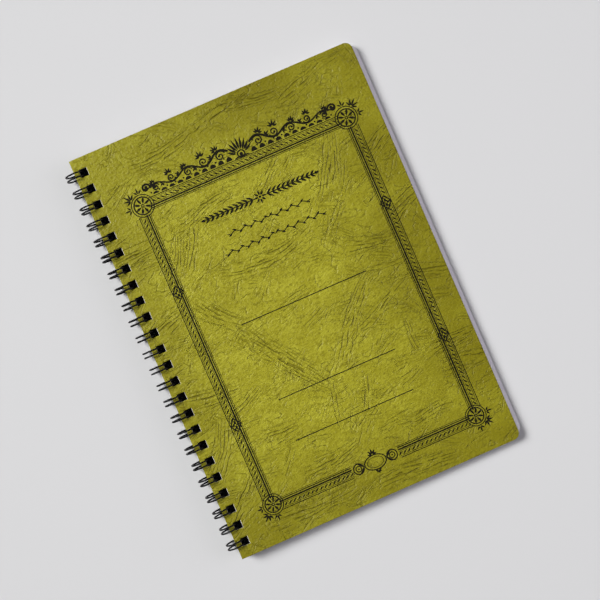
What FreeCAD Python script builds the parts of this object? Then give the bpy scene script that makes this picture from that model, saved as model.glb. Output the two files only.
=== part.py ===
import FreeCAD, Part
import math
import os
import Sketcher

# A5 notebook with a twin-loop wire binding, closed and lying flat.
# Lengths are in millimetres. The origin is the centre of the back cover's underside,
# x runs from the spine to the fore edge, y from the foot to the head, z up.

os.makedirs("parts", exist_ok=True)
doc = FreeCAD.newDocument("Notebook")
vector = FreeCAD.Vector

# Driving dimensions
drivingSizes = {
    "coverWidth": 148.0,
    "coverLength": 210.0,
    "coverThickness": 0.45,
    "coverCornerRadius": 3.6,
    "blockThickness": 3.7,
    "sheetWidth": 150.0,
    "sheetFan": 2.2,
    "sheetSlide": 0.4,
    "sheetEndInset": 0.5,
    "sheetCornerRadius": 5.0,
    "reliefRampLength": 17.0,
    "reliefClearance": 0.08,
    "holeMargin": 2.7,
    "holeSide": 4.0,
    "pitchLength": 25.4,
    "loopsInPitchLength": 3,
    "loopCount": 24,
    "wireDiameter": 0.92,
    "wireSeat": 1.0,
    "loopAxisOutset": 0.15,
    "strandSpacing": 2.25,
    "strandBend": 0.5,
    "seamBaseClearance": 0.15,
    "seamTipGap": 0.12,
    "wireEndLength": 3.0,
}

# Sizes that follow from the driving ones
followingSizes = {
    "loopPitch": "=pitchLength / loopsInPitchLength",
    "stackThickness": "=2 * coverThickness + blockThickness",
    "frontCoverLevel": "=coverThickness + blockThickness",
    "halfWidth": "=coverWidth / 2",
    "halfLength": "=coverLength / 2",
    "holeFarSide": "=holeMargin + holeSide",
    "holeRowLength": "=loopPitch * (loopCount - 1)",
    "firstLoop": "=(coverLength - holeRowLength) / 2",
    "holeFoot": "=firstLoop - holeSide / 2",
    "holeHead": "=firstLoop + holeSide / 2",
    "sheetForeEdge": "=sheetSlide + sheetWidth",
    "topSheetForeEdge": "=sheetForeEdge - sheetFan",
    "sheetHead": "=coverLength - sheetEndInset",
    "sheetHoleNear": "=holeMargin + sheetSlide",
    "sheetHoleFar": "=holeFarSide + sheetSlide",
    "reliefHeight": "=seamBaseClearance + wireDiameter + reliefClearance",
    "reliefRampEnd": "=sheetHoleFar + reliefRampLength",
}

sheet = doc.addObject("Spreadsheet::Sheet", "Dims")


def writeCell(row, alias, content):
    sheet.set("A%d" % row, alias)
    sheet.set("B%d" % row, content)
    sheet.setAlias("B%d" % row, alias)


sheetRow = 0
for alias, size in drivingSizes.items():
    sheetRow += 1
    writeCell(sheetRow, alias, repr(size))
for alias, formula in followingSizes.items():
    sheetRow += 1
    writeCell(sheetRow, alias, formula)
doc.recompute()


def size(alias):
    return float(sheet.get(alias))


def originFeature(body, role):
    for feature in body.Origin.OriginFeatures:
        if feature.Role == role:
            return feature


def newSketch(body, name, role):
    sketch = body.newObject("Sketcher::SketchObject", name)
    sketch.AttachmentSupport = [(originFeature(body, role), "")]
    sketch.MapMode = "FlatFace"
    return sketch


def placeCorner(sketch, line, aliases):
    # Ties a line's first point to the sheet, where None stands for zero.
    kinds = ("DistanceX", "DistanceY")
    zeroAxes = (-2, -1)
    for kind, zeroAxis, alias in zip(kinds, zeroAxes, aliases):
        if alias is None:
            sketch.addConstraint(Sketcher.Constraint("PointOnObject", line, 1, zeroAxis))
        else:
            rule = Sketcher.Constraint(kind, -1, 1, line, 1, size(alias))
            index = sketch.addConstraint(rule)
            sketch.setExpression("Constraints[%d]" % index, "Dims." + alias)


def drawOutline(sketch, corners):
    # A closed outline of straight lines through corners, each given by two aliases.
    points = []
    for cornerX, cornerY in corners:
        x = size(cornerX) if cornerX else 0.0
        y = size(cornerY) if cornerY else 0.0
        points.append(vector(x, y, 0))
    count = len(points)
    for i in range(count):
        sketch.addGeometry(Part.LineSegment(points[i], points[(i + 1) % count]), False)
    for i in range(count):
        sketch.addConstraint(Sketcher.Constraint("Coincident", i, 2, (i + 1) % count, 1))
    for i, aliases in enumerate(corners):
        placeCorner(sketch, i, aliases)


def rectangle(nearX, farX, nearY, farY):
    return [(nearX, nearY), (farX, nearY), (farX, farY), (nearX, farY)]


def newBody(name, level):
    body = doc.addObject("PartDesign::Body", name)
    body.Label = name
    body.setExpression("Placement.Base.x", "-Dims.halfWidth")
    body.setExpression("Placement.Base.y", "-Dims.halfLength")
    if level:
        body.setExpression("Placement.Base.z", "Dims." + level)
    return body


def padOutline(body, name, corners, thickness):
    sketch = newSketch(body, name + "Outline", "XY_Plane")
    drawOutline(sketch, corners)
    pad = body.newObject("PartDesign::Pad", name + "Plate")
    pad.Profile = sketch
    pad.setExpression("Length", "Dims." + thickness)
    doc.recompute()
    return pad


def roundForeCorners(body, name, feature, foreEdge, radius):
    # Rounds the two upright edges at the fore edge.
    samePlace = 1e-6
    edgeNames = []
    for i, edge in enumerate(feature.Shape.Edges):
        ends = [vertex.Point for vertex in edge.Vertexes]
        upright = len(ends) == 2 and abs(ends[0].x - ends[1].x) + abs(ends[0].y - ends[1].y) < samePlace
        if upright and abs(ends[0].x - size(foreEdge)) < samePlace:
            edgeNames.append("Edge%d" % (i + 1))
    fillet = body.newObject("PartDesign::Fillet", name + "ForeCorners")
    fillet.Base = (feature, edgeNames)
    fillet.setExpression("Radius", "Dims." + radius)
    doc.recompute()
    return fillet


def punchHoles(body, name, nearSide, farSide):
    # One square hole at the foot end, repeated along the spine.
    sketch = newSketch(body, name + "HoleOutline", "XY_Plane")
    drawOutline(sketch, rectangle(nearSide, farSide, "holeFoot", "holeHead"))
    volumeBefore = body.Shape.Volume
    hole = body.newObject("PartDesign::Pocket", name + "Hole")
    hole.Profile = sketch
    hole.Type = "ThroughAll"
    hole.Reversed = True
    doc.recompute()
    pattern = body.newObject("PartDesign::LinearPattern", name + "HoleRow")
    pattern.Originals = [hole]
    pattern.Direction = (originFeature(body, "Y_Axis"), [""])
    pattern.setExpression("Length", "Dims.holeRowLength")
    pattern.setExpression("Occurrences", "Dims.loopCount")
    body.Tip = pattern
    doc.recompute()
    if body.Shape.Volume >= volumeBefore:
        raise RuntimeError(name + ": the holes cut nothing")


def makeCover(name, level):
    body = newBody(name, level)
    corners = rectangle(None, "coverWidth", None, "coverLength")
    plate = padOutline(body, name, corners, "coverThickness")
    roundForeCorners(body, name, plate, "coverWidth", "coverCornerRadius")
    punchHoles(body, name, "holeMargin", "holeFarSide")
    return body


def cutAcross(body, name, feature, corners):
    # Cuts an outline seen from the foot away from the whole length.
    sketch = newSketch(body, name + "Outline", "XZ_Plane")
    drawOutline(sketch, corners)
    cut = body.newObject("PartDesign::Pocket", name)
    cut.Profile = sketch
    cut.Type = "ThroughAll"
    doc.recompute()
    if cut.Shape.Volume >= feature.Shape.Volume:
        raise RuntimeError(name + " cuts nothing")
    return cut


def makePageBlock():
    # The sheets as one solid. They lie fanned at the fore edge, the top one level with the cover
    # and the lowest furthest out. Above the wire's seam the last ones lie lifted at the spine.
    name = "page_block"
    body = newBody(name, "coverThickness")
    corners = rectangle("sheetSlide", "sheetForeEdge", "sheetEndInset", "sheetHead")
    block = padOutline(body, name, corners, "blockThickness")
    rounded = roundForeCorners(body, name, block, "sheetForeEdge", "sheetCornerRadius")
    fanCorners = [
        ("sheetForeEdge", None),
        ("sheetForeEdge", "blockThickness"),
        ("topSheetForeEdge", "blockThickness"),
    ]
    fanned = cutAcross(body, name + "Fan", rounded, fanCorners)
    reliefCorners = [
        (None, None),
        ("reliefRampEnd", None),
        ("sheetHoleFar", "reliefHeight"),
        (None, "reliefHeight"),
    ]
    cutAcross(body, name + "Relief", fanned, reliefCorners)
    punchHoles(body, name, "sheetHoleNear", "sheetHoleFar")
    return body


# How the wire is drawn: sides of its section, and straight stretches in each quarter of a loop,
# from the base strand to below the axis, behind it, above it and on to the hairpin
wireSides = 6
quarterChords = (3, 3, 4, 3)
hairpinChords = 4


def wireRoute():
    # Corner points of the bent wire from the foot end to the head end.
    # Each loop rises from the base strand, goes round below the spine and over it,
    # turns back in a hairpin above the base strand and returns beside itself.
    wireRadius = size("wireDiameter") / 2
    halfStack = size("stackThickness") / 2
    axisX = -size("halfWidth") - size("loopAxisOutset")
    axisZ = halfStack
    crossing = size("holeMargin") + size("wireSeat") + size("loopAxisOutset")
    loopRadius = math.hypot(halfStack, crossing)
    baseZ = size("coverThickness") + size("seamBaseClearance") + wireRadius - axisZ
    tipZ = baseZ + size("wireDiameter") + size("seamTipGap")
    hairpinRadius = size("strandSpacing") / 2
    baseAngle = math.asin(baseZ / loopRadius)
    tipReach = math.hypot(loopRadius, hairpinRadius)
    hairpinAngle = math.atan2(hairpinRadius, loopRadius) + math.asin(tipZ / tipReach)
    bend = size("strandBend")
    baseX = loopRadius * math.cos(baseAngle)

    def onLoop(angle, y):
        return vector(axisX + loopRadius * math.cos(angle), y, axisZ + loopRadius * math.sin(angle))

    def strand(y, side):
        # From the base strand's bend to the hairpin's start, on one side of the hairpin.
        start = baseAngle - bend / loopRadius
        fullTurn = 2 * math.pi
        stops = [start, -fullTurn / 4, -fullTurn / 2, -fullTurn * 3 / 4, hairpinAngle - fullTurn]
        angles = [start]
        for near, far, chords in zip(stops, stops[1:], quarterChords):
            angles += [near + (far - near) * i / chords for i in range(1, chords + 1)]
        return [onLoop(angle, y + side * hairpinRadius) for angle in angles]

    route = []
    firstLoop = size("firstLoop") - size("halfLength")
    for loop in range(int(size("loopCount"))):
        y = firstLoop + loop * size("loopPitch")
        rise = strand(y, -1)
        fall = strand(y, 1)
        fall.reverse()
        base = vector(axisX + baseX, 0, axisZ + baseZ)
        if loop == 0:
            route.append(vector(base.x, y - hairpinRadius - size("wireEndLength"), base.z))
        route.append(vector(base.x, y - hairpinRadius - bend, base.z))
        route += rise
        centre = (rise[-1] + fall[0]) / 2
        down = vector(math.sin(hairpinAngle), 0, -math.cos(hairpinAngle))
        for i in range(1, hairpinChords):
            turn = math.pi * i / hairpinChords
            across = vector(0, -math.cos(turn) * hairpinRadius, 0)
            route.append(centre + across + down * (math.sin(turn) * hairpinRadius))
        route += fall
        route.append(vector(base.x, y + hairpinRadius + bend, base.z))
    route.append(vector(base.x, y + hairpinRadius + size("wireEndLength"), base.z))
    return route


def mitredWire(route, radius, sides):
    # Carries a flat-sided section along the route and cuts it at each corner's mitre.
    def slide(points, direction, base, normal):
        moved = []
        for point in points:
            travel = (base - point).dot(normal) / direction.dot(normal)
            moved.append(point + direction * travel)
        return moved

    legs = [(b - a).normalize() for a, b in zip(route, route[1:])]
    along = legs[0]
    across = along.cross(vector(0, 0, 1)).normalize()
    up = across.cross(along)
    section = []
    for i in range(sides):
        turn = 2 * math.pi * i / sides
        section.append(route[0] + across * (radius * math.cos(turn)) + up * (radius * math.sin(turn)))
    rings = [section]
    for i, leg in enumerate(legs):
        normal = (leg + legs[i + 1]).normalize() if i + 1 < len(legs) else leg
        rings.append(slide(rings[-1], leg, route[i + 1], normal))
    faces = [Part.Face(Part.makePolygon(rings[0] + rings[0][:1]))]
    for near, far in zip(rings, rings[1:]):
        for i in range(sides):
            j = (i + 1) % sides
            faces.append(Part.Face(Part.makePolygon([near[i], near[j], far[j], far[i], near[i]])))
    faces.append(Part.Face(Part.makePolygon(rings[-1] + rings[-1][:1])))
    shell = Part.makeShell(faces)
    shell.sewShape()
    solid = Part.makeSolid(shell)
    if solid.Volume < 0:
        solid.reverse()
    return solid


def makeBindingWire():
    # One wire bent through the whole row. No stock operation follows so many turns,
    # so the solid is made from its route.
    wire = doc.addObject("Part::Feature", "binding_wire")
    wire.Label = "binding_wire"
    wire.Shape = mitredWire(wireRoute(), size("wireDiameter") / 2, wireSides)
    wire.Placement = FreeCAD.Placement()
    return wire


subParts = [
    makeCover("front_cover", "frontCoverLevel"),
    makePageBlock(),
    makeCover("back_cover", None),
    makeBindingWire(),
]
doc.recompute()

for item in doc.Objects:
    if "Invalid" in item.State or "Error" in item.State:
        raise RuntimeError(item.Name + " is " + str(item.State))
for subPart in subParts:
    shape = subPart.Shape
    if shape.isNull() or not shape.isValid() or len(shape.Solids) != 1:
        raise RuntimeError(subPart.Label + " isn't one valid solid")
for subPart in subParts:
    subPart.Shape.exportStep("parts/%s.step" % subPart.Label)
    box = subPart.Shape.BoundBox
    extents = (box.XMin, box.XMax, box.YMin, box.YMax, box.ZMin, box.ZMax)
    print(subPart.Label, "volume %.1f" % subPart.Shape.Volume, " ".join("%.3f" % e for e in extents))
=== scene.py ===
import math

import bpy
import mathutils
import mathutils.bvhtree
import numpy as np
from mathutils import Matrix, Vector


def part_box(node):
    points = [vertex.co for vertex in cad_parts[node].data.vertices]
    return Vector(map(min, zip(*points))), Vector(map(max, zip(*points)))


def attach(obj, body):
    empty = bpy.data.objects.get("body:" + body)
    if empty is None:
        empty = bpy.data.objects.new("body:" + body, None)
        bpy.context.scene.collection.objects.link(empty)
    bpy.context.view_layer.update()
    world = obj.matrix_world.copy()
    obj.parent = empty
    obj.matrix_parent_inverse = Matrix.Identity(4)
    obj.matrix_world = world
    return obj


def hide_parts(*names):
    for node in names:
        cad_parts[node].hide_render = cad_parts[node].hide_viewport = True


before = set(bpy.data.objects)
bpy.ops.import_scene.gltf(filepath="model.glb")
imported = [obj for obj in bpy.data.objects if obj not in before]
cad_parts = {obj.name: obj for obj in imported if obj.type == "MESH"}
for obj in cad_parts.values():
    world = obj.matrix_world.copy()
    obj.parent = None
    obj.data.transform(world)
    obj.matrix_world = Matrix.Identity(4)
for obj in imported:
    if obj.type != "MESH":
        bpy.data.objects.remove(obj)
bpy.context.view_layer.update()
mm = 0.001


# Helpers

def linearColour(hexCode):  # sRGB hex to the linear values that nodes take
    channels = [int(hexCode[i:i + 2], 16) / 255 for i in (1, 3, 5)]
    return [c / 12.92 if c <= 0.04045 else ((c + 0.055) / 1.055) ** 2.4 for c in channels] + [1.0]


def addNode(tree, kind, settings=None, links=None):
    # settings: property or input -> value; links: input -> output socket, or a node for its first one
    node = tree.nodes.new("ShaderNode" + kind)
    for name, value in (settings or {}).items():
        if isinstance(name, str) and name in node.bl_rna.properties:
            setattr(node, name, value)
        else:
            node.inputs[name].default_value = value
    for name, source in (links or {}).items():
        tree.links.new(source.outputs[0] if hasattr(source, "outputs") else source, node.inputs[name])
    return node


def newMaterial(name):
    material = bpy.data.materials.new(name)
    material.use_nodes = True
    tree = material.node_tree
    return material, tree, tree.nodes["Principled BSDF"]


def addMesh(name, points, faces, material, body=None, smooth=False):  # points in millimetres
    mesh = bpy.data.meshes.new(name)
    mesh.from_pydata([tuple(c * mm for c in p) for p in points], [], faces)
    mesh.materials.append(material)
    mesh.polygons.foreach_set("use_smooth", [smooth] * len(mesh.polygons))
    mesh.update()
    piece = bpy.data.objects.new(name, mesh)
    bpy.context.scene.collection.objects.link(piece)
    if body:
        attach(piece, body)
    return piece


# Sizes taken from the frame, in millimetres

def nodeBox(node):
    low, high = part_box(node)
    return np.array(low) / mm, np.array(high) / mm


frontLow, frontHigh = nodeBox("front_cover")
backLow, backHigh = nodeBox("back_cover")
pagesLow, pagesHigh = nodeBox("page_block")
wireLow = nodeBox("binding_wire")[0]
spineX = frontLow[0]
footY = frontLow[1]
coverWidth = frontHigh[0] - frontLow[0]
coverLength = frontHigh[1] - frontLow[1]
stackTop = frontHigh[2]

binding = {
    "loopCount": 24,
    "pitch": 25.4 / 3,
    "holeMargin": 2.7,  # spine edge to hole
    "holeSide": 4.0,
    "cornerRadius": 3.6,
    "sheetCornerRadius": 5.0,
}
loopRows = [binding["pitch"] * (i - (binding["loopCount"] - 1) / 2) for i in range(binding["loopCount"])]


# Leather grain of the cover, as a height in millimetres over the sheet

grain = {
    "seed": 7,
    "spacing": 0.35,  # of the places where the swells are held
    "swell": 0.045,  # height of a wave as long as swellLength, and shorter waves are lower
    "swellLength": 160.0,
    "waveLengths": (34.0, 19.0, 11.0, 6.0),
    "wavesOfEach": 9,
    "troughDepth": 0.07,  # how far a run of creases lies below its surroundings
    "creaseLayers": 3,
    "gather": 0.35,  # how much the creases of a run draw together toward one end
    "noiseStep": 57.0,  # from one run to the next along the noise, so that no two are alike
    "smallCreases": 260,
    "smallTurn": (12.0, 29.0),  # mean and spread in degrees
    "smallLength": (7.0, 16.0),
    "smallBreadth": (2.5, 6.0),
    "smallBow": (-0.015, 0.015),
    "smallStrength": 0.52,
    "creases": (  # large runs: middle from spine and foot, direction, length, breadth, bow
        (58, 80, -53, 56, 12, 0.001), (96, 87, 50, 46, 9, -0.004), (108, 84, 28, 44, 6, 0.0),
        (115, 158, 64, 34, 11, 0.004), (110, 136, 47, 36, 5, 0.0), (70, 128, 2, 50, 9, 0.007),
        (74, 203, 14, 36, 6, 0.0), (42, 195, 8, 34, 9, 0.008), (50, 163, 15, 30, 7, -0.004),
        (84, 164, 40, 24, 6, 0.0), (11, 156, 4, 20, 9, 0.0), (12, 52, 56, 32, 10, 0.006),
        (16, 77, -10, 32, 11, 0.004), (32, 69, 24, 20, 7, 0.0), (42, 47, 2, 18, 12, 0.0),
        (139, 45, -6, 26, 9, 0.0), (134, 57, 3, 28, 6, 0.0), (112, 29, 6, 24, 7, -0.004),
        (44, 8, 2, 44, 9, 0.003), (96, 7, -3, 40, 8, -0.003), (116, 200, 20, 24, 7, 0.0),
        (94, 202, -9, 26, 6, 0.003), (39, 150, 62, 32, 6, 0.003), (72, 50, 80, 24, 4, -0.004),
        (88, 50, 66, 18, 5, 0.004), (119, 68, 86, 18, 4, 0.0), (118, 116, -14, 26, 8, 0.0),
        (30, 148, 64, 28, 7, 0.0), (37, 112, -46, 28, 9, 0.005), (141, 128, 24, 22, 11, 0.0),
        (142, 160, 30, 20, 9, 0.0), (14, 118, 22, 24, 8, 0.003), (12, 26, 44, 26, 8, 0.0),
        (60, 26, 10, 30, 8, 0.004), (140, 92, -18, 24, 8, 0.0), (15, 186, 32, 15, 7, 0.0),
    ),
}


def grainField():
    # Soft swells on a fine grid.
    rng = np.random.default_rng(grain["seed"])
    spacing = grain["spacing"]
    countX = int(coverWidth / spacing) + 2
    countY = int(coverLength / spacing) + 2
    gridX, gridY = np.meshgrid(np.arange(countX) * spacing, np.arange(countY) * spacing, indexing="ij")
    field = np.zeros_like(gridX)
    for wave in grain["waveLengths"]:
        for _ in range(grain["wavesOfEach"]):
            turn = rng.uniform(0, 2 * math.pi)
            phase = rng.uniform(0, 2 * math.pi)
            along = gridX * math.cos(turn) + gridY * math.sin(turn)
            height = grain["swell"] * wave / grain["swellLength"]
            field += height * np.sin(2 * math.pi * along / wave + phase)
    return field


grainHeights = grainField()
print("grain laid out")


def grainAt(x, y):  # height at a place on the cover, x and y in frame millimetres
    lastU, lastV = (count - 1.001 for count in grainHeights.shape)  # so that i + 1 is still on the grid
    u = np.clip((np.asarray(x, float) - spineX) / grain["spacing"], 0, lastU)
    v = np.clip((np.asarray(y, float) - footY) / grain["spacing"], 0, lastV)
    i, j = u.astype(int), v.astype(int)
    s, t = u - i, v - j
    low = grainHeights[i, j] * (1 - s) + grainHeights[i + 1, j] * s
    high = grainHeights[i, j + 1] * (1 - s) + grainHeights[i + 1, j + 1] * s
    return low * (1 - t) + high * t


def creaseRuns(x, y):
    # For each layer, how far a place lies along and across the run of creases it is in, and how strong
    # the run is there.
    rng = np.random.default_rng(grain["seed"] + 1)
    runs = [tuple(map(float, run)) for run in grain["creases"]]
    for _ in range(grain["smallCreases"]):
        place = (rng.uniform(0, coverWidth), rng.uniform(0, coverLength))
        turn = rng.normal(*grain["smallTurn"])
        sizes = [rng.uniform(*grain[name]) for name in ("smallLength", "smallBreadth", "smallBow")]
        runs.append((*place, turn, *sizes))
    layers = [np.zeros(np.shape(x) + (3,)) for _ in range(grain["creaseLayers"])]
    fromSpine, fromFoot = np.asarray(x) - spineX, np.asarray(y) - footY
    for number, (runX, runY, turn, length, breadth, bow) in enumerate(runs):
        cosine, sine = math.cos(math.radians(turn)), math.sin(math.radians(turn))
        along = (fromSpine - runX) * cosine + (fromFoot - runY) * sine
        across = -(fromSpine - runX) * sine + (fromFoot - runY) * cosine - bow * along ** 2
        across = across * (1 + grain["gather"] * along / length)
        lengthwise = np.clip(1 - (2 * along / length) ** 2, 0, 1)
        crosswise = np.clip(1 - (2 * across / breadth) ** 2, 0, 1)
        most = 1.0 if number < len(grain["creases"]) else grain["smallStrength"]
        strength = np.sqrt(lengthwise * crosswise) * most
        layer = min(layers, key=lambda held: np.minimum(held[..., 2], strength).sum())
        stronger = strength > layer[..., 2]
        place = np.stack([along + grain["noiseStep"] * number, across, strength], axis=-1)
        layer[stronger] = place[stronger]
    return layers


def holdCreases(piece, x, y):  # the runs as vectors at the mesh's points, read by the cover paper
    for number, layer in enumerate(creaseRuns(x, y)):
        held = piece.data.attributes.new(f"creaseRun{number}", "FLOAT_VECTOR", "POINT")
        held.data.foreach_set("vector", layer.ravel())


# Materials

def embossedCoverPaper():
    # Leather-grained cover paper, printed olive and pressed: runs of fine creases, a pebble between them,
    # and cloudy tone where the print takes more or less ink. Painted shade darkens the cover toward its
    # edges, where the light falls off, and along the spine side, where the loops cast shadow.
    look = {
        "olive": "#9b961f",
        "oliveLight": "#a9a52b",
        "oliveDark": "#7d760a",
        # colour of the painted shade toward the cover's edges
        "edgeShadeOlive": "#756e00",
        "creaseShade": "#5a5102",
        "noises": {  # size in mm, detail, roughness
            "cloud": (26.0, 3.0, 0.5),
            "patch": (6.0, 4.0, 0.62),
            "mottle": (1.7, 3.0, 0.6),
            "pebble": (0.9, 1.5, 0.5),
            "wrinkle": (6.5, 2.0, 0.55),
        },
        "streak": 1.35,  # how many times longer than broad the spots are
        "streakTurn": 14.0,
        "creaseSpacing": 1.8,  # mm between the creases of a run
        "creaseLength": 6.5,
        "creaseFrom": 0.1,  # level of the waves across a run where a crease begins
        "creaseGaps": (0.37, 0.6),  # noise levels between which a crease comes up
        "swayStretch": (2.4, 3.0),  # size of the sway, in crease lengths and spacings
        "swayDetail": 2.5,
        "swayTurns": 19.0,  # radians that the strongest sway adds to the waves
        "masks": {  # what it follows, between which mm from the middle or noise levels, its share at either
            # foreEdge, foot, head with awayFromSpine, and spine: where the painted edge shade lies; uneven
            # breaks it into smudges
            "foreEdge": ("toForeEdge", 15.0, 78.0, 0.0, 0.92),
            "foot": ("toFoot", 48.0, 108.0, 0.0, 0.76),
            "head": ("toHead", 60.0, 110.0, 0.0, 1.0),
            "spine": ("toSpine", 46.0, 74.0, 0.0, 0.42),
            "awayFromSpine": ("toForeEdge", -60.0, 20.0, 0.4, 1.0),
            "uneven": ("cloud", 0.32, 0.56, 0.62, 1.0),
            "patch": ("patch", 0.38, 0.66, 0.0, 1.0),
            "cloud": ("cloud", 0.42, 0.68, 0.0, 0.25),
            "mottle": ("mottle", 0.46, 0.7, 0.0, 0.6),
            "pebble": ("pebble", 0.5, 0.72, 0.0, 0.35),
            "fold": ("offLevel", 0.0, 0.04, 1.0, 0.0),
            "folded": ("patch", 0.45, 0.62, 0.0, 1.0),
        },
        "tones": (("patch", "oliveLight"), ("cloud", "oliveDark"), ("edgeShade", "edgeShadeOlive"),
                  ("mottle", "oliveDark"), ("pebble", "creaseShade"), ("wrinkles", "creaseShade"),
                  ("creases", "creaseShade")),
        # creaseTone and wrinkleTone darken the hollows toward creaseShade: partly the print's own tone,
        # partly painted shade
        "creaseTone": 0.6,
        "wrinkleTone": 0.3,
        "creaseDepthMm": 0.62,
        "wrinkleDepthMm": 0.26,
        "mottleDepthMm": 0.46,
        "pebbleDepthMm": 0.27,
        "roughness": 0.46,
        "specularLevel": 0.22,
    }
    material, tree, shader = newMaterial("embossed olive cover paper")
    smooth = {"interpolation_type": "SMOOTHSTEP"}
    times = {"operation": "MULTIPLY"}
    larger = {"operation": "MAXIMUM"}
    inMetres = addNode(tree, "TexCoord").outputs["Object"]
    place = addNode(tree, "VectorMath", {"operation": "SCALE", "Scale": 1 / mm}, {0: inMetres})
    settings = {"Rotation": (0, 0, -math.radians(look["streakTurn"])), "Scale": (1 / look["streak"], 1, 1)}
    turned = addNode(tree, "Mapping", settings, {"Vector": place})
    field = {}
    for name, (size, detail, rough) in look["noises"].items():
        settings = {"Scale": 1 / size, "Detail": detail, "Roughness": rough}
        field[name] = addNode(tree, "TexNoise", settings, {"Vector": turned})
    apart = addNode(tree, "SeparateXYZ", {}, {0: place})
    for away, back, axis in (("toForeEdge", "toSpine", "X"), ("toHead", "toFoot", "Y")):
        field[away] = apart.outputs[axis]
        field[back] = addNode(tree, "Math", {**times, 1: -1.0}, {0: apart.outputs[axis]})

    creased = None
    length, spacing = look["creaseLength"], look["creaseSpacing"]
    swayX, swayY = look["swayStretch"]
    gapLow, gapHigh = look["creaseGaps"]
    for number in range(grain["creaseLayers"]):
        held = addNode(tree, "Attribute", {"attribute_name": f"creaseRun{number}"})
        run = held.outputs["Vector"]
        parts = addNode(tree, "SeparateXYZ", {}, {0: run})
        settings = {**times, 1: (1 / (swayX * length), 1 / (swayY * spacing), 0)}
        slow = addNode(tree, "VectorMath", settings, {0: run})
        settings = {"Scale": 1.0, "Detail": look["swayDetail"]}
        sway = addNode(tree, "TexNoise", settings, {"Vector": slow})
        turns = addNode(tree, "Math", {**times, 1: look["swayTurns"]}, {0: sway})
        settings = {"operation": "MULTIPLY_ADD", 1: 2 * math.pi / spacing}
        phase = addNode(tree, "Math", settings, {0: parts.outputs["Y"], 2: turns})
        ridge = addNode(tree, "Math", {"operation": "SINE"}, {0: phase})
        settings = {**smooth, "From Min": look["creaseFrom"], "From Max": 1.0}
        line = addNode(tree, "MapRange", settings, {"Value": ridge})
        settings = {**times, 1: (1 / length, 1 / spacing, 0)}
        quick = addNode(tree, "VectorMath", settings, {0: run})
        gaps = addNode(tree, "TexNoise", {"Scale": 1.0, "Detail": 1.0}, {"Vector": quick})
        settings = {**smooth, "From Min": gapLow, "From Max": gapHigh}
        kept = addNode(tree, "MapRange", settings, {"Value": gaps})
        there = addNode(tree, "Math", times, {0: kept, 1: parts.outputs["Z"]})
        layer = addNode(tree, "Math", times, {0: line, 1: there})
        creased = addNode(tree, "Math", larger, {0: creased, 1: layer}) if creased else layer

    # Wrinkles follow the middle level of a noise, and show only where a second one is high.
    fromMiddle = addNode(tree, "Math", {"operation": "SUBTRACT", 1: 0.5}, {0: field["wrinkle"]})
    field["offLevel"] = addNode(tree, "Math", {"operation": "ABSOLUTE"}, {0: fromMiddle})
    masks = {}
    for name, (source, low, high, start, end) in look["masks"].items():
        settings = {**smooth, "From Min": low, "From Max": high, "To Min": start, "To Max": end}
        masks[name] = addNode(tree, "MapRange", settings, {"Value": field[source]})
    wrinkled = addNode(tree, "Math", times, {0: masks["fold"], 1: masks["folded"]})
    # Painted shade toward the edges: the light's falloff at the rims and the loops' shadow by the spine.
    edgeShade = addNode(tree, "Math", times, {0: masks["head"], 1: masks["awayFromSpine"]})
    for side in ("foreEdge", "foot", "spine"):
        edgeShade = addNode(tree, "Math", larger, {0: masks[side], 1: edgeShade})
    masks["edgeShade"] = addNode(tree, "Math", times, {0: edgeShade, 1: masks["uneven"]})
    # the creases' and wrinkles' darkening is partly painted shade in their hollows
    masks["creases"] = addNode(tree, "Math", {**times, 1: look["creaseTone"]}, {0: creased})
    masks["wrinkles"] = addNode(tree, "Math", {**times, 1: look["wrinkleTone"]}, {0: wrinkled})
    tone = None
    for name, colour in look["tones"]:
        mix = addNode(tree, "Mix", {"data_type": "RGBA"}, {"Factor": masks[name]})
        if tone:
            tree.links.new(tone, mix.inputs["A"])
        else:
            mix.inputs["A"].default_value = linearColour(look["olive"])
        mix.inputs["B"].default_value = linearColour(look[colour])
        tone = mix.outputs["Result"]
    tree.links.new(tone, shader.inputs["Base Color"])
    rise = addNode(tree, "Math", {**times, 1: look["pebbleDepthMm"]}, {0: field["pebble"]})
    for part, depth in ((field["mottle"], look["mottleDepthMm"]), (wrinkled, -look["wrinkleDepthMm"]),
                        (creased, -look["creaseDepthMm"])):
        rise = addNode(tree, "Math", {"operation": "MULTIPLY_ADD", 1: depth}, {0: part, 2: rise})
    bump = addNode(tree, "Bump", {"Strength": 1.0, "Distance": mm}, {"Height": rise})
    tree.links.new(bump.outputs["Normal"], shader.inputs["Normal"])
    shader.inputs["Roughness"].default_value = look["roughness"]
    shader.inputs["Specular IOR Level"].default_value = look["specularLevel"]
    return material


def grainedMaterial(name, look):
    # One fine noise, for a drift from one tone to a second, and for relief where a depth is given.
    material, tree, shader = newMaterial(name)
    place = addNode(tree, "TexCoord").outputs["Object"]
    settings = {"Scale": 1 / (look["grainMm"] * mm), "Detail": look["detail"]}
    noise = addNode(tree, "TexNoise", settings, {"Vector": place})
    if "secondTone" in look:
        tones = {"data_type": "RGBA", "A": linearColour(look["tone"]), "B": linearColour(look["secondTone"])}
        mix = addNode(tree, "Mix", tones, {"Factor": noise})
        tree.links.new(mix.outputs["Result"], shader.inputs["Base Color"])
    else:
        shader.inputs["Base Color"].default_value = linearColour(look["tone"])
    if "depthMm" in look:
        settings = {"Strength": look["strength"], "Distance": look["depthMm"] * mm}
        bump = addNode(tree, "Bump", settings, {"Height": noise})
        tree.links.new(bump.outputs["Normal"], shader.inputs["Normal"])
    for socket, value in look["shader"].items():
        shader.inputs[socket].default_value = value
    return material


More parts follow.
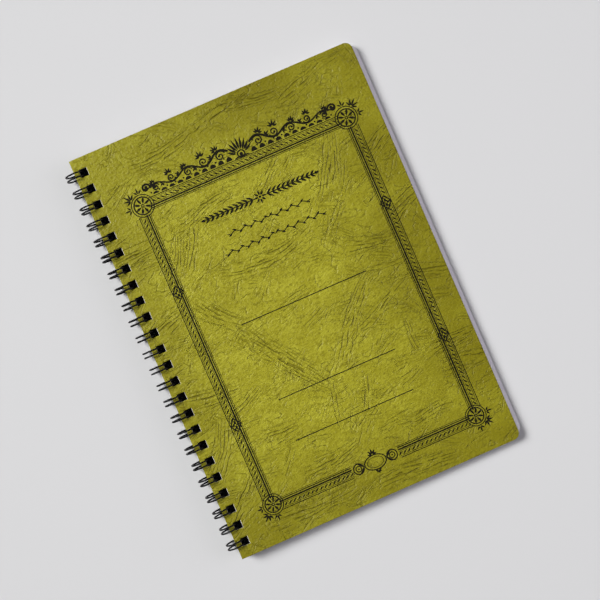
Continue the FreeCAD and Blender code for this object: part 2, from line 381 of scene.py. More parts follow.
plainLooks = {
    # Bleached card under the printed sheet: shows white where it was cut and inside the covers.
    "bleached cover card": {
        "tone": "#dcdad6", "grainMm": 0.6, "detail": 3.0, "depthMm": 0.02, "strength": 0.15,
        "shader": {"Roughness": 0.8},
    },
    # Uncoated writing paper, guillotined: matte, with a trace of streaks where the knife went down. Its lilac
    # grey is partly painted shade, the bluish grey of the shaded fore edge.
    "guillotined writing paper": {
        "tone": "#d6d2d9", "secondTone": "#e3e1e5", "grainMm": 1.4, "detail": 2.0,
        "shader": {"Roughness": 0.85},
    },
    # Steel wire dipped in black nylon: deep black with small soft highlights along each bend.
    "black nylon-coated wire": {
        "tone": "#09090b", "grainMm": 0.3, "detail": 2.0, "depthMm": 0.02, "strength": 0.3,
        "shader": {"Roughness": 0.35, "IOR": 1.52, "Specular IOR Level": 0.12},
    },
    # Offset ink under the laminate: a warm near-black that lets a little of the olive through.
    "offset printing ink": {
        "tone": "#080703", "secondTone": "#1b190a", "grainMm": 1.2, "detail": 3.0,
        "shader": {"Roughness": 0.5, "Specular IOR Level": 0.1},
    },
    # The walls and the floors of the punched holes: near black, painted shade for the dark deep in each hole
    # past the wire and the cover.
    "near-black painted hole shade": {
        "tone": "#08080a", "secondTone": "#141316", "grainMm": 0.4, "detail": 2.0,
        "shader": {"Roughness": 0.9, "Specular IOR Level": 0.2},
    },
}


coverPaper = embossedCoverPaper()
card, paper, wireCoat, ink, holeShade = (grainedMaterial(name, look) for name, look in plainLooks.items())
print("materials made")


# Covers and sheets share one kind of grid: it follows the holes and the two rounded corners

sheetBuild = {
    "fineStep": 0.66,  # spacing of the printed relief's points
    "backStep": 2.0,
    "plainStep": 6.0,
    "rim": 0.12,  # width of the pressed-down rim
    "rimDrop": 0.06,
    "cornerShares": (0.08, 0.2, 0.35, 0.55, 0.8, 1.0),
}


def stopsBetween(edges, step):  # even stops that include every given edge
    stops = [edges[0]]
    for a, b in zip(edges, edges[1:]):
        parts = max(1, round((b - a) / step))
        stops += [a + (b - a) * i / parts for i in range(1, parts + 1)]
    return np.array(stops)


def sheetGrid(low, high, radius, step, bends=(), holes=None):
    # Places of the grid's points, and which cells are sheet and not hole.
    width = high[0] - low[0]
    near, far = holes or (binding["holeMargin"], binding["holeMargin"] + binding["holeSide"])
    half = binding["holeSide"] / 2
    rim = sheetBuild["rim"]
    bendFrom = width - 2 * radius
    xStops = stopsBetween(sorted([0, rim, near, far, bendFrom, width - rim, width] + list(bends)), step)
    corners = [radius * share for share in sheetBuild["cornerShares"]]
    yEdges = [low[1], low[1] + rim, high[1] - rim, high[1]]
    yEdges += [row + side for row in loopRows for side in (-half, half)]
    yEdges += [low[1] + c for c in corners] + [high[1] - c for c in corners]
    yStops = stopsBetween(sorted(yEdges), step)
    dip = np.maximum(np.maximum(low[1] + radius - yStops, yStops - (high[1] - radius)), 0)
    reach = width - radius + np.sqrt(np.maximum(radius ** 2 - dip ** 2, 0))
    columns = []
    for x in xStops:
        share = max(0.0, (x - bendFrom) / (width - bendFrom))
        xs = low[0] + (bendFrom + share * (reach - bendFrom) if x > bendFrom else np.full(len(yStops), x))
        columns.append(np.stack([xs, yStops], axis=1))
    xMiddles = (xStops[1:] + xStops[:-1]) / 2
    yMiddles = (yStops[1:] + yStops[:-1]) / 2
    inColumn = (xMiddles > near) & (xMiddles < far)
    inRow = np.array([min(abs(y - row) for row in loopRows) < half for y in yMiddles])
    return np.array(columns), ~(inColumn[:, None] & inRow[None, :])


def gridFaces(solid, first, upward):
    countY = solid.shape[1] + 1
    faces = []
    for i, j in np.argwhere(solid):
        a = first + i * countY + j
        face = (a, a + countY, a + countY + 1, a + 1)
        faces.append(face if upward else face[::-1])
    return faces


def gridWalls(solid, top, bottom):
    # Faces round the outline and the holes, between an upper and a lower grid of the same shape.
    countX, countY = solid.shape
    padded = np.pad(solid, 1)
    faces = []

    def corner(first, i, j):
        return first + i * (countY + 1) + j

    for i, j in np.argwhere(solid):
        sides = (
            (padded[i, j + 1], (i, j + 1), (i, j)),
            (padded[i + 2, j + 1], (i + 1, j), (i + 1, j + 1)),
            (padded[i + 1, j], (i, j), (i + 1, j)),
            (padded[i + 1, j + 2], (i + 1, j + 1), (i, j + 1)),
        )
        for covered, a, b in sides:
            if not covered:
                faces.append((corner(top, *a), corner(bottom, *a), corner(bottom, *b), corner(top, *b)))
    return faces


def withHeights(grid, heights):
    return np.dstack([grid, np.broadcast_to(heights, grid.shape[:2])]).reshape(-1, 3)


def rimMask(grid):
    mask = np.ones(grid.shape[:2], bool)
    mask[1:-1, 1:-1] = False
    return mask


def finishCover(piece, printedFaces, body):
    # Printed outside, bare card at the cut edges and inside.
    piece.data.materials.append(card)
    slots = [0 if i < printedFaces else 1 for i in range(len(piece.data.polygons))]
    piece.data.polygons.foreach_set("material_index", slots)
    piece.data.polygons.foreach_set("use_smooth", [slot == 0 for slot in slots])
    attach(piece, body)


def makeFrontCover():
    radius = binding["cornerRadius"]
    grid, solid = sheetGrid(frontLow, frontHigh, radius, sheetBuild["fineStep"])
    troughs = np.max([layer[..., 2] for layer in creaseRuns(grid[..., 0], grid[..., 1])], axis=0)
    lift = grainAt(grid[..., 0], grid[..., 1]) - grain["troughDepth"] * troughs
    lift = np.where(rimMask(grid), -sheetBuild["rimDrop"], np.minimum(lift, 0))
    points = [withHeights(grid, frontHigh[2] + lift), withHeights(grid, frontLow[2])]
    printed = gridFaces(solid, 0, True)
    walls = gridWalls(solid, 0, grid.shape[0] * grid.shape[1])
    points = np.concatenate(points)
    piece = addMesh("frontCoverSheet", points, printed + walls, coverPaper)
    holdCreases(piece, points[:, 0], points[:, 1])
    finishCover(piece, len(printed), "front")
    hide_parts("front_cover")
    lining, solid = sheetGrid(frontLow, frontHigh, radius, sheetBuild["plainStep"])
    points = withHeights(lining, frontLow[2])
    inside = addMesh("frontCoverInside", points, gridFaces(solid, 0, False), card, "front")
    return piece


def makeBackCover():
    grid, solid = sheetGrid(backLow, backHigh, binding["cornerRadius"], sheetBuild["backStep"])
    count = grid.shape[0] * grid.shape[1]
    points = np.concatenate([withHeights(grid, backHigh[2]), withHeights(grid, backLow[2])])
    printed = gridFaces(solid, count, False)
    inside = gridFaces(solid, 0, True)
    piece = addMesh("backCoverSheet", points, printed + inside + gridWalls(solid, 0, count), coverPaper)
    holdCreases(piece, -points[:, 0], points[:, 1])  # the other way round than on the front
    finishCover(piece, len(printed), "back")
    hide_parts("back_cover")


frontCover = makeFrontCover()
makeBackCover()
print("covers laid")


# Sheets

pageBuild = {
    "seed": 11,
    "sheetCount": 40,
    "unevenness": 0.09,  # how far a sheet may stay back at the edges
    "shift": 0.05,  # how far it may lie toward the head or the foot
    "edgeBand": (0.08, 0.92),  # from where to where in a sheet's thickness its edge is drawn
    "reliefHeight": 1.15,  # lift of the last sheets over the wire's seam
    "reliefFlat": 6.7,  # from the sheets' own spine edge
    "reliefEnd": 23.7,
    "arcSteps": 8,
    "fan": 2.2,  # how far the top sheet stays back behind the lowest
    "fanFrom": 60.0,
    "farStop": 100.0,  # one more place along the head and the foot
    "holes": (2.3, 6.13),  # a little nearer the spine than the cover's, so a strip of paper shows in each
}


def liftedUnderside(x):  # height of the lowest sheet at x
    share = np.clip((pageBuild["reliefEnd"] - (np.asarray(x, float) - pagesLow[0]))
                    / (pageBuild["reliefEnd"] - pageBuild["reliefFlat"]), 0, 1)
    return pagesLow[2] + pageBuild["reliefHeight"] * share


def fanned(x, share):  # draws the fore edge back, all the way at share 1, the top sheet
    start = pagesLow[0] + pageBuild["fanFrom"]
    return x - pageBuild["fan"] * share * np.clip((x - start) / (pagesHigh[0] - start), 0, 1)


def sheetOutline(inset, yShift):
    radius = binding["sheetCornerRadius"]
    x1 = pagesHigh[0] - inset
    y0, y1 = pagesLow[1] + inset + yShift, pagesHigh[1] - inset + yShift
    stops = [0] + [pageBuild[name] for name in ("reliefFlat", "reliefEnd", "fanFrom", "farStop")]
    outline = [(pagesLow[0] + stop + (inset if stop == 0 else 0), y0) for stop in stops]
    for i in range(pageBuild["arcSteps"] + 1):
        turn = math.pi / 2 * i / pageBuild["arcSteps"]
        outline.append((x1 - radius + radius * math.sin(turn), y0 + radius - radius * math.cos(turn)))
    foot = outline[:]
    middle = (y0 + y1) / 2
    outline += [(x, 2 * middle - y) for x, y in reversed(foot)]
    return np.array(outline)


def makeSheetEdges():
    # Each sheet's edge is a narrow band, a little in or out of its neighbours.
    rng = np.random.default_rng(pageBuild["seed"])
    count = pageBuild["sheetCount"]
    rings = []
    for sheet in range(count):
        outermost = sheet in (0, count - 1)
        inset = 0.0 if outermost else rng.uniform(0, pageBuild["unevenness"])
        shift = 0.0 if outermost else rng.uniform(-1, 1) * min(inset, pageBuild["shift"])
        outline = sheetOutline(inset, shift)
        under = liftedUnderside(outline[:, 0])
        lower, upper = ((sheet + edge) / count for edge in pageBuild["edgeBand"])
        for share in (lower if sheet > 0 else 0.0, upper if sheet < count - 1 else 1.0):
            x = fanned(outline[:, 0], share)
            rings.append(np.column_stack([x, outline[:, 1], under + (pagesHigh[2] - under) * share]))
    size = len(rings[0])
    faces = []
    for ring in range(len(rings) - 1):
        for i in range(size):
            j = (i + 1) % size
            faces.append((ring * size + i, ring * size + j, (ring + 1) * size + j, (ring + 1) * size + i))
    edges = addMesh("sheetEdges", np.concatenate(rings), faces, paper, "book")
    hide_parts("page_block")


def wallOfHole(face, grid):  # true for walls inside a punched hole, not for the outline
    x, y = grid.reshape(-1, 2)[face[0]]
    slack, margin = 0.01, 0.5
    inHoles = slack < x - pagesLow[0] < pageBuild["holes"][1] + slack
    return inHoles and pagesLow[1] + margin < y < pagesHigh[1] - margin


def makeSheetStack():
    # The top and the lowest sheet, with the walls of the holes between them.
    flat, end = pageBuild["reliefFlat"], pageBuild["reliefEnd"]
    bends = (end, (end + flat) / 2, pageBuild["fanFrom"])
    grid, solid = sheetGrid(pagesLow, pagesHigh, binding["sheetCornerRadius"], sheetBuild["plainStep"], bends,
                            pageBuild["holes"])
    count = grid.shape[0] * grid.shape[1]
    topGrid = np.dstack([fanned(grid[..., 0], 1.0), grid[..., 1]])
    lowest = withHeights(grid, liftedUnderside(grid[..., 0]))
    points = np.concatenate([withHeights(topGrid, pagesHigh[2]), lowest])
    holeWalls = [face for face in gridWalls(solid, 0, count) if wallOfHole(face, grid)]
    faces = gridFaces(solid, 0, True) + gridFaces(solid, count, False)
    # Near-black faces close each hole at the lowest sheet: a painted shade floor where the deep hole is dark.
    holeShadeFloors = gridFaces(~solid, count, True)
    stack = addMesh("sheetStack", points, faces + holeWalls + holeShadeFloors, paper, "book")
    # the holes' walls and floors take the near-black painted shade
    stack.data.materials.append(holeShade)
    slots = [0] * len(faces) + [1] * (len(holeWalls) + len(holeShadeFloors))
    stack.data.polygons.foreach_set("material_index", slots)


makeSheetEdges()
makeSheetStack()
print("sheets stacked")


# Wire

wireForm = {
    "diameter": 0.85,
    "loopRadius": 4.45,  # to the wire's middle
    "axisOutset": 0.15,  # of the loops' axis, past the covers' spine edge
    "strandSpacing": 2.25,
    "bend": 0.6,
    "baseHeight": 1.06,  # of the seam strand's middle, over the back cover's underside
    "tipHeight": 2.1,  # of the hairpin's tip
    "endLength": 3.0,
    "sides": 12,
    "bendSteps": 5,
    "loopSteps": 44,
    "tipSteps": 10,
}


def wireRoute():
    # The whole wire from the foot to the head, through every loop.
    radius = wireForm["loopRadius"]
    axisX = spineX - wireForm["axisOutset"]
    axisZ = stackTop / 2
    hairpin = wireForm["strandSpacing"] / 2
    baseAngle = math.asin((wireForm["baseHeight"] - axisZ) / radius)
    tipReach = math.hypot(radius, hairpin)
    hairpinAngle = math.atan2(hairpin, radius) + math.asin((wireForm["tipHeight"] - axisZ) / tipReach)
    bend = wireForm["bend"]
    baseX = axisX + radius * math.cos(baseAngle)
    baseZ = wireForm["baseHeight"]

    def onLoop(angle, y):
        return np.array([axisX + radius * math.cos(angle), y, axisZ + radius * math.sin(angle)])

    def rise(y, side):
        start = baseAngle - bend / radius
        corner = np.array([baseX, y, baseZ])
        before = corner + np.array([0, side * bend, 0])
        after = onLoop(start, y)
        curve = []
        for i in range(wireForm["bendSteps"]):
            s = i / wireForm["bendSteps"]
            curve.append((1 - s) ** 2 * before + 2 * s * (1 - s) * corner + s * s * after)
        steps = wireForm["loopSteps"]
        end = hairpinAngle - 2 * math.pi
        return curve + [onLoop(start + (end - start) * i / steps, y) for i in range(steps + 1)]

    route = []
    for index, y in enumerate(loopRows):
        up = rise(y - hairpin, -1)
        back = rise(y + hairpin, 1)[::-1]
        if index == 0:
            route.append(np.array([baseX, y - hairpin - wireForm["endLength"], baseZ]))
        route += up
        centre = (up[-1] + back[0]) / 2
        down = np.array([math.sin(hairpinAngle), 0, -math.cos(hairpinAngle)])
        for i in range(1, wireForm["tipSteps"]):
            turn = math.pi * i / wireForm["tipSteps"]
            sideways = np.array([0, -math.cos(turn) * hairpin, 0])
            route.append(centre + sideways + down * math.sin(turn) * hairpin)
        route += back
    route.append(np.array([baseX, loopRows[-1] + hairpin + wireForm["endLength"], baseZ]))
    return np.array(route)


def roundTube(route, radius, sides):
    # Carries a round section along the route without twist.
    legs = np.diff(route, axis=0)
    legs /= np.linalg.norm(legs, axis=1)[:, None]
    normal = np.array([0.0, 0, 1])
    points = []
    for i, place in enumerate(route):
        before = legs[max(i - 1, 0)]
        after = legs[min(i, len(legs) - 1)]
        along = before + after
        along /= np.linalg.norm(along)
        normal = normal - along * normal.dot(along)
        normal /= np.linalg.norm(normal)
        side = np.cross(along, normal)
        for k in range(sides):
            turn = 2 * math.pi * k / sides
            points.append(place + radius * (math.cos(turn) * normal + math.sin(turn) * side))
    faces = []
    for i in range(len(route) - 1):
        for k in range(sides):
            a, b = i * sides + k, i * sides + (k + 1) % sides
            faces.append((a, b, b + sides, a + sides))
    last = (len(route) - 1) * sides
    faces.append(tuple(range(sides))[::-1])
    faces.append(tuple(last + k for k in range(sides)))
    return points, faces


def makeWire():
    points, faces = roundTube(wireRoute(), wireForm["diameter"] / 2, wireForm["sides"])
    wire = addMesh("bindingWireCoil", points, faces, wireCoat, "book", smooth=True)
    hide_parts("binding_wire")


makeWire()
print("wire bent")


# Print on the front cover: thin ink shapes that lie on the relief

inkShapes = {  # millimetres, apart from counts and shares
    "lift": 0.05,  # over the relief, so that the ink never sinks into it
    "rayHeight": 0.05,  # in metres, well above the cover
    "lineStep": 0.5,
    "leafPoints": 11,
    "leafSwell": 0.75,  # below 1 a leaf is broadest nearer its base
    "discPoints": 21,
    "lunettePoints": 13,
    "sprayStart": 0.5,
    "sprayFall": 0.3,  # how much shorter a spray's outermost leaves are
    "sprayBow": 0.14,
    "curlPoints": 14,  # for each turn
    "curlTightness": 0.8,  # below 1 the outermost turn closes in fastest
    "curlEye": 0.75,  # radius of the dot at the end, in widths of the line
}
coverTree = mathutils.bvhtree.BVHTree.FromObject(frontCover, bpy.context.evaluated_depsgraph_get())


def onCover(x, y):  # x from the spine and y from the foot, in millimetres -> a point just over the relief
    above = mathutils.Vector(((spineX + x) * mm, (footY + y) * mm, inkShapes["rayHeight"]))
    place = coverTree.ray_cast(above, mathutils.Vector((0, 0, -1)))[0]
    top = place.z / mm if place else stackTop
    return (spineX + x, footY + y, top + inkShapes["lift"])


def around(centre, radius, turn):
    return np.array(centre) + radius * np.array([math.cos(turn), math.sin(turn)])


def oval(turns, wide, high):
    return np.column_stack([np.cos(turns) * wide, np.sin(turns) * high])


class InkSheet:  # gathers shapes for one printed piece
    def __init__(self, name):
        self.name = name
        self.points = []
        self.faces = []

    def addStrip(self, left, right):
        first = len(self.points)
        count = len(left)
        self.points += [onCover(*p) for p in left] + [onCover(*p) for p in right]
        for i in range(count - 1):
            self.faces.append((first + count + i, first + count + i + 1, first + i + 1, first + i))

    def stroke(self, path, width, taper=None):
        # A line along path; taper gives its width's share from start to end.
        path = np.array(path, float)
        along = np.gradient(path, axis=0)
        along /= np.maximum(np.linalg.norm(along, axis=1), 1e-9)[:, None]
        across = np.column_stack([-along[:, 1], along[:, 0]])
        share = np.linspace(0, 1, len(path))
        half = width / 2 * (taper(share) if taper else np.ones(len(path)))
        self.addStrip(path + across * half[:, None], path - across * half[:, None])

    def line(self, a, b, width):
        count = max(2, int(math.dist(a, b) / inkShapes["lineStep"]) + 1)
        self.stroke([np.add(a, np.subtract(b, a) * i / (count - 1)) for i in range(count)], width)

    def leaf(self, base, turn, length, width, bow=0.0):
        # A pointed leaf from its base, bent sideways by bow.
        share = np.linspace(0, 1, inkShapes["leafPoints"])
        swell = np.sin(math.pi * share ** inkShapes["leafSwell"])
        spine = np.column_stack([length * share, bow * length * share ** 2])
        half = np.column_stack([np.zeros(len(share)), swell * width / 2])
        left, right = spine + half, spine - half
        spin = np.array([[math.cos(turn), math.sin(turn)], [-math.sin(turn), math.cos(turn)]])
        self.addStrip(left @ spin + base, right @ spin + base)

    def disc(self, centre, radius, hole=0.0, stretch=1.0):  # a ring where hole isn't zero
        turns = np.linspace(0, 2 * math.pi, inkShapes["discPoints"])
        inner = oval(turns, hole + radius * (stretch - 1), hole)
        self.addStrip(np.array(centre) + inner, np.array(centre) + oval(turns, stretch, 1) * radius)

    def spray(self, base, turn, form, size=1.0):
        # Leaves that fan from one point; form is their number, spread, length and width.
        count, spread, length, width = form
        for k in range(count):
            side = 2 * k / (count - 1) - 1
            aim = turn + side * spread
            start = around(base, inkShapes["sprayStart"], aim)
            reach = length * size * (1 - inkShapes["sprayFall"] * abs(side))
            self.leaf(start, aim, reach, width, inkShapes["sprayBow"] * side)

    def lunette(self, base, width, height):  # a half round on a flat foot
        turns = np.linspace(0, math.pi, inkShapes["lunettePoints"])
        self.addStrip(base + oval(turns, width / 2, height), base + oval(turns, width / 2, 0))

    def spiral(self, centre, start, turns, outer, inner, width, hand=1):
        # A curl that winds from its outer end to its eye, broadest a third of the way in.
        share = np.linspace(0, 1, int(inkShapes["curlPoints"] * turns) + 4)
        angle = start + hand * 2 * math.pi * turns * share
        radius = outer + (inner - outer) * share ** inkShapes["curlTightness"]
        path = oval(angle, 1, 1) * radius[:, None] + centre
        self.stroke(path, width, lambda s: 0.55 + 0.45 * np.sin(math.pi * (0.25 + 0.75 * s)))
        self.disc(path[-1], width * inkShapes["curlEye"])

    def mirrored(self, middle):  # the shapes so far, again on the other side of x = middle
        count = len(self.points)
        flipped = []
        for x, y, _ in self.points:
            flipped.append(onCover(2 * middle - (x - spineX), y - footY))
        self.points += flipped
        self.faces += [tuple(count + i for i in reversed(face)) for face in self.faces]

    def finish(self):
        piece = addMesh(self.name, self.points, self.faces, ink, "front")


printing = {  # edges of the field from the spine and the foot, and sizes in its plane
    "left": 20.1,
    "right": 136.0,
    "foot": 14.1,
    "head": 178.9,
    # distance inward from the edge, and width
    "rules": ((0.25, 0.36), (1.0, 0.2), (3.4, 0.22), (4.25, 0.76), (5.3, 0.46), (6.05, 0.22)),
    "ropePitch": 2.3,
    "medallionReach": 12.4,  # where the foot band stops for the oval, from the middle
    "cornerReach": 9.0,
    # row, start and end
    "writingLines": ((104.4, 45.0, 110.9), (63.9, 47.1, 108.9), (42.4, 46.9, 108.9)),
    "writingWidth": 0.44,
}
middleX = (printing["left"] + printing["right"]) / 2


def printFrame(sheet):
    # Rules round the field, with a rope of slanting bars between the second and the third.
    motif = {
        "ruleReach": 1.5,  # how far the rules go on past the rope's ends
        "ropeInset": 2.18,
        "barLean": (0.8, 0.72),  # half of a bar, along the rules and across them
        "barPlaces": (-1, -0.33, 0.33, 1),
        "barWidth": 0.72,
        "barEnd": 0.35,  # share of its width that is left at the ends
        "dots": ((0.45, 0.22), (-0.45, 0.18)),  # place across the rope, radius
    }
    left, right, foot, head = (printing[k] for k in ("left", "right", "foot", "head"))
    sides = (((left, foot), (left, head), (1, 0)), ((right, foot), (right, head), (-1, 0)),
             ((left, foot), (right, foot), (0, 1)), ((left, head), (right, head), (0, -1)))
    corner = printing["cornerReach"]
    blunt = motif["barEnd"]
    for start, end, inward in sides:
        start, end, inward = np.array(start), np.array(end), np.array(inward)
        length = np.linalg.norm(end - start)
        along = (end - start) / length
        opening = printing["medallionReach"] if inward[1] > 0 else 0.0
        for offset, width in printing["rules"]:
            ends = max(offset, corner - motif["ruleReach"])
            for a, b in ((ends, length / 2 - opening), (length / 2 + opening, length - ends)):
                sheet.line(start + inward * offset + along * a, start + inward * offset + along * b, width)
        count = int((length - 2 * corner) / printing["ropePitch"])
        pitch = (length - 2 * corner) / count
        lean = along * motif["barLean"][0] + inward * motif["barLean"][1]
        for i in range(count):
            reach = corner + pitch * (i + 0.5)
            if abs(reach - length / 2) < opening:
                continue
            centre = start + along * reach + inward * motif["ropeInset"]
            sheet.stroke([centre + lean * place for place in motif["barPlaces"]], motif["barWidth"],
                         lambda s: blunt + (1 - blunt) * np.sin(math.pi * s))
            for across, radius in motif["dots"]:
                sheet.disc(centre + along * pitch / 2 + inward * across, radius)


def printCorners(sheet):
    # A wheel of petals in two rings at each corner, slim leaves outside it, and curls beside the upper two.
    motif = {
        "inset": 4.2,  # of the wheels' middles from the sides
        "wheels": (("foot", 1, 4.4, 1.06), ("head", -1, 2.6, 1.16)),  # side, inward, inset, size
        "rings": ((5.0, 4.6), (4.0, 3.45)),
        "petals": 8,
        "outerSpray": (5, 1.15, 3.5, 0.85),  # leaves, spread, length, width
        "sideSpray": (3, 0.75, 2.7, 0.8),
        "curl": (1.2, 2.5, 0.5, 1.0),  # turns, outer and inner radius, width
        "tuft": (3, 0.5, 3.4, 1.0),
    }
    for x, sideX in ((printing["left"], 1), (printing["right"], -1)):
        for edge, sideY, inset, size in motif["wheels"]:
            centre = (x + sideX * motif["inset"], printing[edge] + sideY * inset)
            for outer, inner in motif["rings"]:
                sheet.disc(centre, outer * size, inner * size)
            for k in range(motif["petals"]):
                turn = 2 * math.pi / motif["petals"] * (k + 0.5)
                sheet.leaf(around(centre, 3.5 * size, turn), turn + math.pi, 2.7 * size, size)
            sheet.disc(centre, 0.85, 0.4)
            outward = math.atan2(-sideY, -sideX)
            sheet.spray(around(centre, 5.0 * size, outward), outward, motif["outerSpray"], size)
            for turn in (math.atan2(0, -sideX), math.atan2(-sideY, 0)):
                sheet.spray(around(centre, 4.9 * size, turn), turn, motif["sideSpray"], size)
            if sideY < 0:
                start = math.pi / 2 - sideX * 1.9
                sheet.spiral((centre[0] + sideX * 4.6, centre[1] + 7.2), start, *motif["curl"], sideX)
                turn = 0.6 if sideX > 0 else math.pi - 0.6
                sheet.spray((centre[0] + sideX * 7.4, centre[1] + 6.0), turn, motif["tuft"])


def printCrest(sheet):
    # Scallops along the head band, a running vine over them with a curl in every bend, and a palmette.
    motif = {
        "bendWidth": 8.6,
        "bends": 5,
        "stemFrom": 5.6,  # from the middle
        "stemPoints": 110,
        "shrink": 0.08,  # from bend to bend
        "curl": (1.4, 2.8, 0.55, 0.7),  # turns, outer and inner radius, width
        "upperCrown": (5, 1.0, 3.0, 0.85),  # leaves, spread, length, width
        "lowerCrown": (5, 1.1, 3.6, 0.88),
        "tuft": (3, 0.55, 2.6, 0.8),
        "scallops": 10,
        "scallopPitch": 4.3,
        "palmetteLeaves": 9,
        "palmetteTurn": 0.31,
    }
    head = printing["head"]
    bend, bends, first, pitch = (motif[name] for name in ("bendWidth", "bends", "stemFrom", "scallopPitch"))
    share = np.linspace(0, 1, motif["stemPoints"])
    stemX = middleX + first + share * bend * bends
    stemY = head + 5.4 - 1.7 * share + (2.2 - 0.9 * share) * np.sin(math.pi * share * bends)
    sheet.stroke(np.column_stack([stemX, stemY]), 1.15, lambda s: 1 - 0.45 * s)
    for number in range(bends):
        up = 1 if number % 2 == 0 else -1
        size = 1 - motif["shrink"] * number
        middle = (middleX + first + bend * (number + 0.5), head + 5.3 - 0.34 * (number + 0.5) - up * 0.6)
        turns, outer, inner, width = motif["curl"]
        sheet.spiral(middle, math.pi * (0.9 if up > 0 else 1.1), turns, outer * size, inner, width, -up)
        if up > 0:
            sheet.spray(around(middle, 3.2 * size, 1.2), 1.15, motif["upperCrown"], size)
        else:
            sheet.spray(around(middle, 2.6 * size, 1.35), 1.35, motif["lowerCrown"], size)
        joint = int((motif["stemPoints"] - 1) * (number + 1) / bends)
        sheet.spray((stemX[joint], stemY[joint]), 0.55 * up, motif["tuft"], size)
    for k in range(motif["scallops"]):
        height = 2.2 - 0.12 * k
        foot = np.array([middleX + 6.6 + pitch * k, head + 0.45])
        sheet.lunette(foot, 3.0, height)
        sheet.disc(foot + (pitch / 2, height), 0.42)
    sheet.mirrored(middleX)
    heart = (middleX, head + 1.7)
    for k in range(motif["palmetteLeaves"]):
        side = k - motif["palmetteLeaves"] // 2
        turn = math.pi / 2 + side * motif["palmetteTurn"]
        sheet.leaf(around(heart, 2.4, turn), turn, 6.3 - 0.4 * abs(side), 1.15, -0.05 * side)
    sheet.disc(heart, 2.1, 1.45)
    sheet.disc(heart, 0.85)
    sheet.lunette(np.array([middleX, head + 0.1]), 8.0, 0.9)


def printStuds(sheet):
    # Lozenges along the sides, and an oval between two rings in the foot band.
    motif = {
        "lozengeInset": 3.0,
        "lozengeRows": (61.0, 131.0),
        "lozenge": ((0, 3.4), (2.7, 0), (0, -3.4), (-2.7, 0), (0, 3.4)),
        "ovalInset": 3.3,
        "ovalRings": ((3.9, 3.35, 1.5), (2.7, 2.45, 1.6)),  # outer and inner radius, stretch
        "besideReach": 8.8,
        "besideRings": ((2.9, 2.35), (1.6, 1.15), (0.4, 0.0)),
        "upperSpray": (5, 1.2, 2.9, 0.9),  # leaves, spread, length, width
        "lowerSpray": (5, 1.2, 1.6, 0.9),
    }
    for x, inward in ((printing["left"], 1), (printing["right"], -1)):
        for y in motif["lozengeRows"]:
            centre = np.array([x + inward * motif["lozengeInset"], y])
            corners = [centre + np.array(corner) for corner in motif["lozenge"]]
            for a, b in zip(corners, corners[1:]):
                sheet.line(a, b, 0.6)
            for k in range(4):
                sheet.leaf(around(centre, 0.4, math.pi / 2 * k), math.pi / 2 * k, 1.9, 0.95)
    centre = np.array([middleX, printing["foot"] + motif["ovalInset"]])
    for outer, inner, stretch in motif["ovalRings"]:
        sheet.disc(centre, outer, inner, stretch)
    for turn in (0.0, math.pi):
        for outer, inner in motif["besideRings"]:
            sheet.disc(around(centre, motif["besideReach"], turn), outer, inner)
        for k in (1, -1):
            sheet.leaf(around(centre, 6.2, turn), turn + k * 0.95, 4.6, 0.7, -0.2 * k)
    for side, form in ((1, "upperSpray"), (-1, "lowerSpray")):
        sheet.spray(centre + (0, side * 3.7), side * math.pi / 2, motif[form])


def printDivider(sheet):
    # A laurel rule across the upper field and two smaller leafy rules under it.
    motif = {
        "laurelRow": 157.8,
        "laurelReach": (2.5, 29.5),  # from the middle
        "laurelPairs": 10,
        "laurelPitch": 2.55,
        "leafyRules": ((147.2, 21.8), (138.6, 26.6)),  # row, reach
        "leafPitch": 2.5,
        "sway": 0.5,
        "swayPoints": 90,
        "starLeaves": 8,
    }
    y = motif["laurelRow"]
    start, end = motif["laurelReach"]
    sheet.line((middleX + start, y), (middleX + end, y), 0.5)
    for k in range(motif["laurelPairs"]):
        for side in (1, -1):
            place = (middleX + 3.8 + motif["laurelPitch"] * k, y)
            sheet.leaf(place, side * 0.75, 3.9 - 0.12 * k, 1.0, -0.12 * side)
    sheet.leaf((middleX + 28.6, y), 0.0, 2.6, 1.3)
    for low, reach in motif["leafyRules"]:
        count = int(reach / motif["leafPitch"])
        step = reach / count
        shares = np.linspace(0, 1, motif["swayPoints"])
        path = [(middleX + reach * t, low + motif["sway"] * math.sin(math.pi * count * t)) for t in shares]
        sheet.stroke(path, 0.42)
        for k in range(count):
            side = 1 if k % 2 == 0 else -1
            sheet.leaf((middleX + step * (k + 0.2), low + side * 0.2), side * 0.8, 2.2, 0.85, -0.2 * side)
    sheet.mirrored(middleX)
    for k in range(motif["starLeaves"]):
        turn = 2 * math.pi / motif["starLeaves"] * k
        sheet.leaf(around((middleX, y), 0.9, turn), turn, 2.4, 0.95)
    sheet.disc((middleX, y), 0.6)


def printWritingLines(sheet):
    for y, start, end in printing["writingLines"]:
        sheet.line((start, y), (end, y), printing["writingWidth"])


for name, draw in (("printedFrame", printFrame), ("printedCorners", printCorners),
                   ("printedCrest", printCrest), ("printedStuds", printStuds),
                   ("printedDivider", printDivider), ("writingLines", printWritingLines)):
    sheet = InkSheet(name)
    draw(sheet)
    sheet.finish()
print("cover printed")


# Floor, light and camera

studio = {
    "floorSize": 3.0,  # metres
    "floorGap": 0.02,  # mm under the notebook
    "floorColour": "#d3d3d3",
    "floorRoughness": 0.9,
    "floorSpecularLevel": 0.2,
    "backdropColour": "#d8d8d8",
    "worldColour": "#fafafc",
    "worldStrength": 0.18,
    "keyColour": "#ffffff",
    "keyPower": 12.9,
    "keySize": 1.7,
    "keyDistance": 3.6,
    "keySpread": 38.0,  # degrees, as with a honeycomb grid, so that the light pools round the notebook
    "keyAzimuth": 144.0,  # degrees from the fore edge's direction, toward the head
    "keyElevation": 40.0,
    "fillColour": "#f2ecfa",
    "fillPower": 19.0,
    "fillSize": 1.6,
    "fillDistance": 2.5,
    "fillSpread": 180.0,
    "fillAzimuth": -10.0,
    "fillElevation": 24.0,
    "cameraHeight": 511.0,  # over the cover
    "cameraPlace": (69.05, 108.72),  # from the spine and the foot
    "cameraTilt": (-0.165, -0.901, -23.532),
    "lens": 63.221,
}


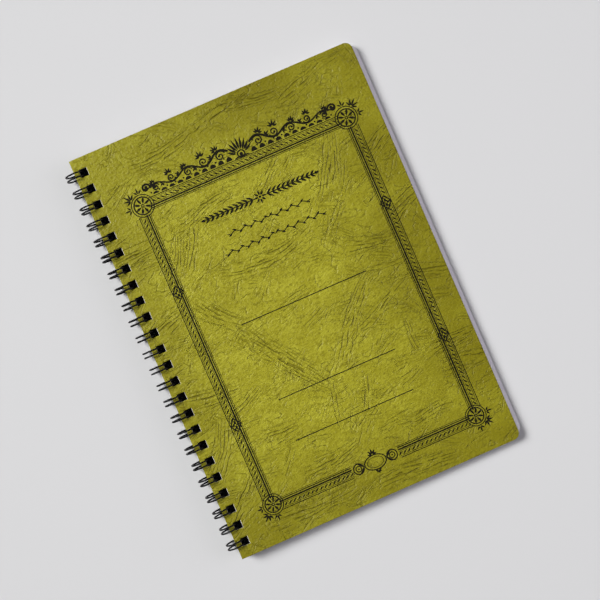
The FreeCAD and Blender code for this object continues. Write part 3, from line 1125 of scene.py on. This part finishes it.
def makeFloor():
    # Matte seamless paper: an even pale ground that takes a soft shadow and shows no gleam.
    # The notebook leans on its loops and on the back cover's fore edge, so the floor lies along both.
    lowX, lowZ = spineX - wireForm["axisOutset"], wireLow[2] - studio["floorGap"]
    edgeX, edgeZ = backHigh[0], backLow[2] - studio["floorGap"]
    slope = (edgeZ - lowZ) / (edgeX - lowX)
    half = studio["floorSize"] / 2 / mm
    material, tree, shader = newMaterial("matte seamless paper")
    shader.inputs["Base Color"].default_value = linearColour(studio["floorColour"])
    shader.inputs["Roughness"].default_value = studio["floorRoughness"]
    shader.inputs["Specular IOR Level"].default_value = studio["floorSpecularLevel"]
    places = ((-half, -half), (half, -half), (half, half), (-half, half))
    corners = [(x, y, lowZ + slope * (x - lowX)) for x, y in places]
    floor = addMesh("studioFloor", corners, [(0, 1, 2, 3)], material)


def makeLights():
    # The camera and the gleams see the backdrop, and the surfaces take the world's dimmer light.
    world = bpy.data.worlds.new("pale studio")
    bpy.context.scene.world = world
    world.use_nodes = True
    tree = world.node_tree
    tree.nodes.clear()
    path = addNode(tree, "LightPath")
    links = {0: path.outputs["Is Camera Ray"], 1: path.outputs["Is Glossy Ray"]}
    seen = addNode(tree, "Math", {"operation": "MAXIMUM"}, links)
    fill = addNode(tree, "Background", {"Strength": studio["worldStrength"]})
    fill.inputs["Color"].default_value = linearColour(studio["worldColour"])
    backdrop = addNode(tree, "Background", {"Strength": 1.0})
    backdrop.inputs["Color"].default_value = linearColour(studio["backdropColour"])
    mix = addNode(tree, "MixShader", {}, {0: seen, 1: fill, 2: backdrop})
    addNode(tree, "OutputWorld", {}, {"Surface": mix})
    for name in ("key", "fill"):
        azimuth = math.radians(studio[name + "Azimuth"])
        elevation = math.radians(studio[name + "Elevation"])
        flat = math.cos(elevation)
        across, deep = math.cos(azimuth) * flat, math.sin(azimuth) * flat
        direction = mathutils.Vector((across, deep, math.sin(elevation)))
        lamp = bpy.data.lights.new(name + "Softbox", "AREA")
        lamp.energy = studio[name + "Power"]
        lamp.size = studio[name + "Size"]
        lamp.spread = math.radians(studio[name + "Spread"])
        lamp.color = linearColour(studio[name + "Colour"])[:3]
        softbox = bpy.data.objects.new(name + "Softbox", lamp)
        softbox.location = direction * studio[name + "Distance"]
        softbox.rotation_euler = direction.to_track_quat("Z", "Y").to_euler()
        bpy.context.scene.collection.objects.link(softbox)


def makeCamera():
    lens = bpy.data.cameras.new("camera")
    lens.lens = studio["lens"]
    camera = bpy.data.objects.new("camera", lens)
    x, y = studio["cameraPlace"]
    camera.location = ((spineX + x) * mm, (footY + y) * mm, (stackTop + studio["cameraHeight"]) * mm)
    camera.rotation_euler = [math.radians(turn) for turn in studio["cameraTilt"]]
    bpy.context.scene.collection.objects.link(camera)
    bpy.context.scene.camera = camera


makeFloor()
makeLights()
makeCamera()
bpy.context.scene.view_settings.view_transform = "Standard"
print("studio set")
